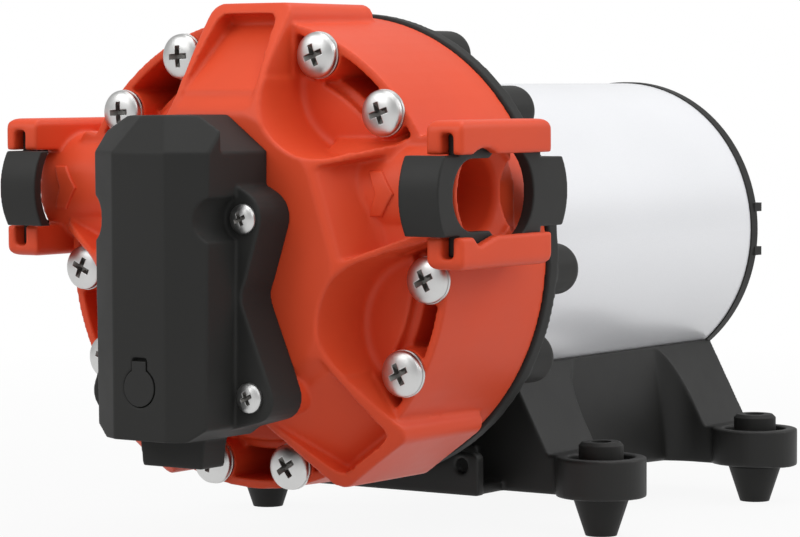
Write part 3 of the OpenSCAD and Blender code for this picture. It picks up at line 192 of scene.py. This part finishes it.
def painted(name, color, rough):
    """Satin paint with fine flakes and a faint orange-peel skin."""
    edge_mm = 0.4
    skin_mm = 0.01
    s = Shader(name)
    flake = s.noise(scale=5200, detail=1)
    skin = s.noise(scale=700, detail=3)
    smudge = s.noise(scale=40, detail=5)
    s.set(Metallic=0.15)
    s.set(Base_Color=s.mix(s.span(flake, 0.35, 0.65, 0, 1), scaled(color, 0.98), scaled(color, 1.02)))
    s.set(Roughness=s.span(smudge, 0.3, 0.7, rough - 0.03, rough + 0.05))
    s.set(Normal=s.bump(skin, skin_mm * MM, strength=0.35, normal=s.bevel(edge_mm * MM)))
    s.set(Coat_Weight=0.25)
    s.set(Coat_Roughness=0.2)
    return s.material


RED = linear(218, 76, 42)
BLACK = linear(44, 44, 43)
BASE_BLACK = linear(33, 33, 32)
RUBBER = linear(32, 32, 31)
STEEL = linear(206, 206, 205)

looks = {
    "red_plastic": moulded(
        "red_plastic", RED, rough=0.42, grain_mm=0.5, grain_depth_mm=0.005, edge_highlight_lift=1.12, specular=0.25),
    "black_plastic": moulded(
        "black_plastic", BLACK, rough=0.5, grain_mm=0.35, grain_depth_mm=0.01, edge_highlight_lift=1.7, specular=0.15),
    "clip_plastic": moulded(
        "clip_plastic", BLACK, rough=0.45, grain_mm=0.4, grain_depth_mm=0.005, edge_highlight_lift=1.6, specular=0.18),
    "base_plastic": moulded(
        "base_plastic", BASE_BLACK, rough=0.48, grain_mm=0.35, grain_depth_mm=0.01, edge_highlight_lift=1.7,
        specular=0.3),
    "foot_rubber": moulded(
        "foot_rubber", RUBBER, rough=0.58, grain_mm=0.5, grain_depth_mm=0.01, edge_mm=0.4, edge_highlight_lift=1.5,
        specular=0.25),
    "seal_rubber": moulded(
        "seal_rubber", RUBBER, rough=0.55, grain_mm=0.5, grain_depth_mm=0.006, edge_mm=0.3, edge_highlight_lift=1.3,
        specular=0.3),
    "motor_paint": painted("motor_paint", linear(236, 237, 240), rough=0.34),
    "screw_steel": metal("screw_steel", STEEL, rough=0.34),
    # Darker, rougher metal for the screws' cross recesses: painted shade in the recesses.
    "screw_recess_painted_shade": metal("screw_recess_painted_shade", linear(128, 126, 123), rough=0.55),
    "bearing_steel": metal("bearing_steel", STEEL, rough=0.2, brush=(1, 8, 1)),
    "cast_metal": metal("cast_metal", linear(168, 170, 174), rough=0.45),
    "brass": metal("brass", linear(201, 166, 92), rough=0.3),
    "valve_plastic": moulded(
        "valve_plastic", linear(226, 224, 214), rough=0.4, grain_mm=0.6, grain_depth_mm=0.005,
        edge_highlight_lift=1.05),
    "core_steel": metal("core_steel", linear(110, 110, 114), rough=0.42, brush=(1, 40, 1)),
    "copper": metal("copper", linear(190, 108, 62), rough=0.32, brush=(1, 12, 1)),
    "magnet_ferrite": moulded(
        "magnet_ferrite", linear(70, 70, 74), rough=0.55, grain_mm=0.3, grain_depth_mm=0.01, edge_highlight_lift=1.5),
    "carbon": moulded(
        "carbon", linear(38, 38, 41), rough=0.6, grain_mm=0.3, grain_depth_mm=0.01, edge_highlight_lift=1.6),
    "phenolic": moulded(
        "phenolic", linear(98, 66, 44), rough=0.45, grain_mm=0.4, grain_depth_mm=0.008, edge_highlight_lift=1.3),
}

for part in frame["record"]["subparts"]:
    mesh = nodes[part["node"]].data
    mesh.materials.clear()
    mesh.materials.append(looks[part["material_slot"]])

slot_of = {part["node"]: part["material_slot"] for part in frame["record"]["subparts"]}


# Moulded pieces with soft edges


def merged_copy(node):
    """Copy of a CAD node's mesh, with the vertices that its faces share joined."""
    mesh = nodes[node].data.copy()
    work = bmesh.new()
    work.from_mesh(mesh)
    bmesh.ops.remove_doubles(work, verts=work.verts, dist=0.001 * MM)
    work.to_mesh(mesh)
    work.free()
    return mesh


def linked(name, mesh):
    piece = bpy.data.objects.new(name, mesh)
    bpy.context.collection.objects.link(piece)
    return piece


def baked(piece):
    """Puts a piece's modifiers into its mesh, which is shaded smooth."""
    graph = bpy.context.evaluated_depsgraph_get()
    mesh = bpy.data.meshes.new_from_object(piece.evaluated_get(graph))
    piece.modifiers.clear()
    piece.data = mesh
    for face in mesh.polygons:
        face.use_smooth = True
    return mesh


def softened(node, body, voxel_mm, passes, keep, ready=None):
    """Moulded twin of a CAD node: its edges and inner corners are rounded, as a mould leaves them.

    A smaller voxel and fewer passes of smoothing keep finer edges. keep is the share of faces that
    stay, and ready, where it is given, changes the copy's mesh before it is rounded.
    """
    piece = linked(node + "_moulded", merged_copy(node))
    if ready:
        ready(piece.data)
    remesh = piece.modifiers.new("remesh", "REMESH")
    remesh.mode = "VOXEL"
    remesh.voxel_size = voxel_mm * MM
    smooth = piece.modifiers.new("smooth", "SMOOTH")
    smooth.factor = 0.5
    smooth.iterations = passes
    thin = piece.modifiers.new("thin", "DECIMATE")
    thin.ratio = keep
    baked(piece)
    piece.data.materials.clear()
    piece.data.materials.append(looks[slot_of[node]])
    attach(piece, body)
    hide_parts(node)


# How near to a radius or a flat end a vertex counts as on it
NEAR_RADIUS = 0.1 * MM
NEAR_END = 0.05 * MM

# Ports: their axis, the barrel and its end, the thin lip of its mouth, and the chevron on it. The
# lip's vertices lie outside its search radius, and all those wanted lie within the search heights.
PORT_AXIS = HEAD_AT + Vector((0, 7, 14.1)) * MM
BARREL_R = 12.4 * MM
BARREL_END = 57.0 * MM
LIP_R = 12.0 * MM
LIP_SEARCH_R = 10 * MM
LIP_SEARCH_HEIGHT = 9.2 * MM
LIP_LONGER = 0.15 * MM
LIP_THICKER_SHARE = 0.07
MARK_R = 12.9 * MM
MARK_SEARCH_HEIGHT = 5.2 * MM


def ready_cover(mesh):
    """Lengthens and thickens both ports' lips, and sinks the chevrons, which are pieces of their own."""
    for vertex in mesh.vertices:
        place = vertex.co - PORT_AXIS
        across = Vector((0, place.y, place.z))
        radius = across.length
        on_end = abs(abs(place.x) - BARREL_END) < NEAR_END
        on_mark = abs(radius - MARK_R) < NEAR_RADIUS and abs(place.z) < MARK_SEARCH_HEIGHT and place.y < 0
        if on_end and radius > LIP_SEARCH_R and abs(place.z) < LIP_SEARCH_HEIGHT:
            vertex.co.x += math.copysign(LIP_LONGER, place.x)
        if on_end and abs(radius - LIP_R) < NEAR_RADIUS:
            vertex.co -= across * LIP_THICKER_SHARE
        elif on_mark:
            vertex.co -= across * (1 - BARREL_R / MARK_R)


INLET_PAD_EDGE_X = -49.9 * MM
INLET_PAD_WIDER = 0.25 * MM


def ready_inlet_clip(mesh):
    """Brings the inner edge of the pad a little nearer to the pump, inside its clearance."""
    for vertex in mesh.vertices:
        if abs(vertex.co.x - INLET_PAD_EDGE_X) < NEAR_END:
            vertex.co.x += INLET_PAD_WIDER


softened("front_cover", "pump", voxel_mm=0.45, passes=5, keep=0.21, ready=ready_cover)
softened("switch_housing", "pump", voxel_mm=0.3, passes=6, keep=0.5)
softened("inlet_clip", "inlet_clip", voxel_mm=0.22, passes=5, keep=0.6, ready=ready_inlet_clip)
softened("outlet_clip", "outlet_clip", voxel_mm=0.22, passes=5, keep=0.6)
softened("base", "pump", voxel_mm=0.4, passes=5, keep=0.24)
softened("drive_housing", "pump", voxel_mm=0.45, passes=3, keep=0.35)


# Spring of the switch, copied into a piece of its own

coil = linked("switch_spring_coil", merged_copy("switch_spring"))
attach(coil, "pump")
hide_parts("switch_spring")
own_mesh(coil)


# Chevrons that show the flow on the front of each barrel


def flow_mark(name, tip_x):
    """Raised chevron that points to +x, bent round the barrel."""
    half = 4.95
    slant = 3.6
    middle_w = 4.7
    end_w = 3.3
    foot_r = 12.1
    bevel = 0.22
    steps = 8
    rows = [-half + half * i / steps for i in range(2 * steps + 1)]
    rows[1:1] = [-half + bevel]
    rows[-1:-1] = [half - bevel]
    work = bmesh.new()
    rings = []
    for z in rows:
        share = abs(z) / half
        front = tip_x - slant * share
        behind = tip_x - middle_w - (slant + end_w - middle_w) * share
        top_r = MARK_R / MM - (bevel if share == 1 else 0)
        section = [
            (front, foot_r), (front, top_r - bevel), (front - bevel, top_r),
            (behind + bevel, top_r), (behind, top_r - bevel), (behind, foot_r),
        ]
        ring = []
        for x, r in section:
            place = Vector((x, -math.sqrt(r * r - z * z), z))
            ring.append(work.verts.new(PORT_AXIS + place * MM))
        rings.append(ring)
    for below, above in zip(rings, rings[1:]):
        for i in range(len(below)):
            j = (i + 1) % len(below)
            work.faces.new((below[i], below[j], above[j], above[i]))
    work.faces.new(rings[0])
    work.faces.new(rings[-1])
    bmesh.ops.recalc_face_normals(work, faces=work.faces)
    mesh = bpy.data.meshes.new(name)
    work.to_mesh(mesh)
    work.free()
    mesh.materials.append(looks["red_plastic"])
    piece = linked(name, mesh)
    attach(piece, "pump")


flow_mark("outlet_flow_mark", 41.7)
flow_mark("inlet_flow_mark", -46.1)


# Screws with pan heads and tapered cross recesses


def lathe(profile, steps):
    """Closed mesh from (radius, y) points turned about the y axis, where the first and last one lie."""
    work = bmesh.new()
    rings = []
    for radius, y in profile:
        if radius == 0:
            rings.append([work.verts.new((0, y * MM, 0))])
            continue
        ring = []
        for i in range(steps):
            angle = 2 * math.pi * i / steps
            x = radius * MM * math.cos(angle)
            z = radius * MM * math.sin(angle)
            ring.append(work.verts.new((x, y * MM, z)))
        rings.append(ring)
    for one, two in zip(rings, rings[1:]):
        for i in range(steps):
            j = (i + 1) % steps
            corners = [one[i % len(one)], one[j % len(one)], two[j % len(two)], two[i % len(two)]]
            work.faces.new(list(dict.fromkeys(corners)))
    bmesh.ops.recalc_face_normals(work, faces=work.faces)
    mesh = bpy.data.meshes.new("lathe")
    work.to_mesh(mesh)
    work.free()
    return mesh


def taper_bar(mouth, mouth_y, end, end_y):
    """Bar from a rectangle at mouth_y to a smaller one at end_y; each is (span, width)."""
    work = bmesh.new()
    corners = []
    for (span, width), y in ((mouth, mouth_y), (end, end_y)):
        for sx, sz in ((-1, -1), (1, -1), (1, 1), (-1, 1)):
            corners.append(work.verts.new((sx * span / 2 * MM, y * MM, sz * width / 2 * MM)))
    work.faces.new(corners[:4])
    work.faces.new(corners[4:])
    for i in range(4):
        j = (i + 1) % 4
        work.faces.new((corners[i], corners[j], corners[j + 4], corners[i + 4]))
    bmesh.ops.recalc_face_normals(work, faces=work.faces)
    mesh = bpy.data.meshes.new("bar")
    work.to_mesh(mesh)
    work.free()
    # The bar carries the darker metal, which paints shade into the cross it cuts.
    mesh.materials.append(looks["screw_recess_painted_shade"])
    return mesh


# Screws: steps round them, the angle from which an edge is sharp, how far in front of the head the
# cross starts to be cut, and its bottom's span and width in shares of its mouth's
SCREW_STEPS = 96
SCREW_SHARP = math.radians(32)
CROSS_AHEAD = 0.2
CROSS_BOTTOM_SPAN = 0.38
CROSS_BOTTOM_WIDTH = 0.6


def screw_mesh(name, head_r, head_h, shank_r, shank_l, cross):
    """Pan-head screw that seats at y = 0 with its head towards -y; cross is its (span, width, depth).

    The dome is a list of (radius, height) in shares of the head's own.
    """
    dome = [
        (0, 1), (0.2, 0.995), (0.4, 0.965), (0.56, 0.915), (0.7, 0.845), (0.82, 0.75),
        (0.9, 0.66), (0.96, 0.56), (0.99, 0.47), (1, 0.38), (1, 0.07), (0.975, 0),
    ]
    profile = [(r * head_r, -h * head_h) for r, h in dome]
    profile += [(shank_r, 0), (shank_r, shank_l), (0, shank_l)]
    mesh = lathe(profile, SCREW_STEPS)
    mesh.materials.append(looks["screw_steel"])
    screw = linked(name, mesh)
    span, width, depth = cross
    mouth_y = -head_h - CROSS_AHEAD
    bottom = (span * CROSS_BOTTOM_SPAN, width * CROSS_BOTTOM_WIDTH)
    cutters = []
    for turn in (0, math.pi / 2):
        cutter = linked("cutter", taper_bar((span, width), mouth_y, bottom, depth - head_h))
        cutter.rotation_euler.y = turn
        cutters.append(cutter)
        cut = screw.modifiers.new("cross", "BOOLEAN")
        cut.object = cutter
        cut.solver = "EXACT"
        # The cut faces take the bar's darker metal: painted shade in the cross.
        cut.material_mode = "TRANSFER"
    bpy.context.view_layer.update()
    mesh = baked(screw)
    for cutter in cutters:
        bpy.data.objects.remove(cutter)
    bpy.data.objects.remove(screw)
    mesh.set_sharp_from_angle(angle=SCREW_SHARP)
    return mesh


def placed_screws(name, node, seats):
    """One piece with a copy of a screw at each (screw, x, y, z, turn in degrees) of the head's axes."""
    work = bmesh.new()
    for template, x, y, z, turn in seats:
        place = Matrix.Translation(HEAD_AT + Vector((x, y, z)) * MM)
        copy = template.copy()
        copy.transform(place @ Matrix.Rotation(math.radians(-turn), 4, "Y"))
        work.from_mesh(copy)
        bpy.data.meshes.remove(copy)
    mesh = bpy.data.meshes.new(name)
    work.to_mesh(mesh)
    work.free()
    for material in seats[0][0].materials:
        mesh.materials.append(material)
    piece = linked(name, mesh)
    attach(piece, "pump")
    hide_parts(node)


# Cover screws: two in each pocket, at an angle to either side of its middle, each on a washer
POCKET_ANGLES = (54, -18, -90, -162, 126)
SCREW_CIRCLE_R = 47.5
SCREW_HALF_ANGLE = 12.93
CROSS_TURNS = (18, 20, 27, 27, -12, 33, -25, -20, 3, 3)
WASHER_T = 0.6
COVER_HEAD_R = 5
COVER_HEAD_H = 2.3
COVER_SHANK_R = 2.4
COVER_CROSS = (5.6, 1.35, 1.5)

tips_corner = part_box("cover_screws")[1]
cover_shank_l = (tips_corner - HEAD_AT).y / MM + WASHER_T
cover_screw = screw_mesh(
    "cover_screw", COVER_HEAD_R, COVER_HEAD_H, COVER_SHANK_R, cover_shank_l, COVER_CROSS)
seats = []
for i, cross_turn in enumerate(CROSS_TURNS):
    angle = math.radians(POCKET_ANGLES[i // 2] + (i % 2 * 2 - 1) * SCREW_HALF_ANGLE)
    x = SCREW_CIRCLE_R * math.cos(angle)
    z = SCREW_CIRCLE_R * math.sin(angle)
    seats.append((cover_screw, x, -WASHER_T, z, cross_turn))
placed_screws("cover_screws_plated", "cover_screws", seats)

# Switch screws: two pairs, each given by its distance to either side, its height and its tip's y
SWITCH_PAIRS = ((17.5, 9.1, -10), (18.9, -28.7, -3))
SWITCH_HEAD_R = 3.2
SWITCH_HEAD_H = 1.9
SWITCH_SHANK_R = 1.5
SWITCH_CROSS = (3.5, 0.95, 1.1)
SWITCH_TURN = 5
SWITCH_TURN_APART = 20

heads_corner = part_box("switch_screws")[0]
ear_front = (heads_corner - HEAD_AT).y / MM + SWITCH_HEAD_H
seats = []
for x, z, tip in SWITCH_PAIRS:
    switch_screw = screw_mesh(
        "switch_screw", SWITCH_HEAD_R, SWITCH_HEAD_H, SWITCH_SHANK_R, tip - ear_front, SWITCH_CROSS)
    for side in (-1, 1):
        seats.append((switch_screw, side * x, ear_front, z, SWITCH_TURN + side * SWITCH_TURN_APART))
placed_screws("switch_screws_plated", "switch_screws", seats)


# Camera at the photograph's place

PHOTO_W = 800
PHOTO_H = 537
FOCAL_PX = 3211.76
CENTRE_PX = (400, 268)
CAMERA_AT = Vector((0.4293, -0.6692, 0.1040))
AZIMUTH = math.radians(34.68)
ELEVATION = math.radians(3.27)
ROLL = math.radians(-0.21)
SENSOR_MM = 36.0

back = Vector((
    math.sin(AZIMUTH) * math.cos(ELEVATION),
    -math.cos(AZIMUTH) * math.cos(ELEVATION),
    math.sin(ELEVATION),
))
level_right = Vector((math.cos(AZIMUTH), math.sin(AZIMUTH), 0))
level_up = back.cross(level_right)
right = level_right * math.cos(ROLL) + level_up * math.sin(ROLL)
up = level_up * math.cos(ROLL) - level_right * math.sin(ROLL)

camera = bpy.data.objects.new("camera", bpy.data.cameras.new("camera"))
camera.data.sensor_width = SENSOR_MM
camera.data.lens = SENSOR_MM * FOCAL_PX / PHOTO_W
camera.data.shift_x = (PHOTO_W / 2 - CENTRE_PX[0]) / PHOTO_W
camera.data.shift_y = (CENTRE_PX[1] - PHOTO_H / 2) / PHOTO_W
camera.data.clip_start = 0.05
camera.data.clip_end = 50
camera.matrix_world = Matrix.Translation(CAMERA_AT) @ Matrix((right, up, back)).transposed().to_4x4()
bpy.context.collection.objects.link(camera)
bpy.context.scene.camera = camera


# Floor, backdrop and lamps


def add_floor():
    """Pale floor that keeps a light shadow near the pump and turns white further out."""
    half = 12
    under_feet = -0.05 * MM
    shadow_near = 0.15
    shadow_far = 0.5
    glow_near = 0.92
    dark = (0.48, 0.48, 0.48, 1)
    pale = (0.52, 0.52, 0.52, 1)
    corners = [(-half, -half), (half, -half), (half, half), (-half, half)]
    mesh = bpy.data.meshes.new("floor")
    mesh.from_pydata([(x, y, under_feet) for x, y in corners], [], [(0, 1, 2, 3)])
    floor = bpy.data.objects.new("floor", mesh)
    bpy.context.collection.objects.link(floor)
    s = Shader("floor")
    speck = s.noise(scale=9, detail=4)
    s.set(Base_Color=s.mix(s.span(speck, 0.3, 0.7, 0, 1), dark, pale))
    s.set(Roughness=0.6)
    s.set(Specular_IOR_Level=0.15)
    s.tree.nodes.remove(s.tree.nodes["Material Output"])
    path = s.node("ShaderNodeLightPath")
    seen = s.node("ShaderNodeMath", Value=path.outputs["Is Camera Ray"])
    seen.operation = "MAXIMUM"
    s.feed(seen.inputs[1], path.outputs["Is Glossy Ray"])
    distance = s.tree.nodes.new("ShaderNodeVectorMath")
    distance.operation = "LENGTH"
    s.feed(distance.inputs[0], s.place)
    share = s.node("ShaderNodeMath", Value=seen.outputs["Value"])
    share.operation = "MULTIPLY"
    s.feed(share.inputs[1], s.span(distance.outputs["Value"], shadow_near, shadow_far, glow_near, 1.0))
    glow = s.node("ShaderNodeEmission", Color=(1, 1, 1, 1), Strength=1.0)
    blend = s.node("ShaderNodeMixShader", Fac=share.outputs["Value"])
    s.feed(blend.inputs[1], s.bsdf.outputs["BSDF"])
    s.feed(blend.inputs[2], glow.outputs["Emission"])
    s.node("ShaderNodeOutputMaterial", Surface=blend.outputs["Shader"])
    mesh.materials.append(s.material)


def add_world():
    """Soft fill from all sides; the camera sees plain white instead."""
    white_color = (1, 1, 1, 1)
    fill_strength = 0.57
    seen_strength = 1.0
    world = bpy.data.worlds.new("studio")
    bpy.context.scene.world = world
    world.use_nodes = True
    tree = world.node_tree
    tree.nodes.clear()
    path = tree.nodes.new("ShaderNodeLightPath")
    fill = tree.nodes.new("ShaderNodeBackground")
    fill.inputs["Color"].default_value = white_color
    fill.inputs["Strength"].default_value = fill_strength
    white = tree.nodes.new("ShaderNodeBackground")
    white.inputs["Color"].default_value = white_color
    white.inputs["Strength"].default_value = seen_strength
    blend = tree.nodes.new("ShaderNodeMixShader")
    out = tree.nodes.new("ShaderNodeOutputWorld")
    tree.links.new(path.outputs["Is Camera Ray"], blend.inputs["Fac"])
    tree.links.new(fill.outputs["Background"], blend.inputs[1])
    tree.links.new(white.outputs["Background"], blend.inputs[2])
    tree.links.new(blend.outputs["Shader"], out.inputs["Surface"])


def add_lamp(name, place, aim, size, power):
    lamp = bpy.data.lights.new(name, "AREA")
    lamp.shape = "RECTANGLE"
    lamp.size, lamp.size_y = size
    lamp.energy = power
    holder = bpy.data.objects.new(name, lamp)
    holder.location = place
    holder.rotation_euler = (Vector(aim) - Vector(place)).to_track_quat("-Z", "Y").to_euler()
    bpy.context.collection.objects.link(holder)


add_floor()
add_world()
add_lamp("key", place=(1.1, -0.5, 0.9), aim=(0, 0, 0.06), size=(0.8, 0.8), power=3)
add_lamp("front", place=(-0.7, -1.2, 0.8), aim=(0, 0, 0.06), size=(0.9, 0.7), power=5.5)
add_lamp("top_front", place=(0, -0.7, 1.2), aim=(0, 0, 0.06), size=(0.8, 0.8), power=3.5)
add_lamp("top", place=(0.1, 0.3, 1.3), aim=(0, 0, 0.05), size=(1.0, 1.0), power=6.3)
add_lamp("back", place=(1.0, 0.8, 0.8), aim=(0, 0, 0.06), size=(0.8, 0.8), power=4.6)

bpy.context.scene.view_settings.view_transform = "Standard"
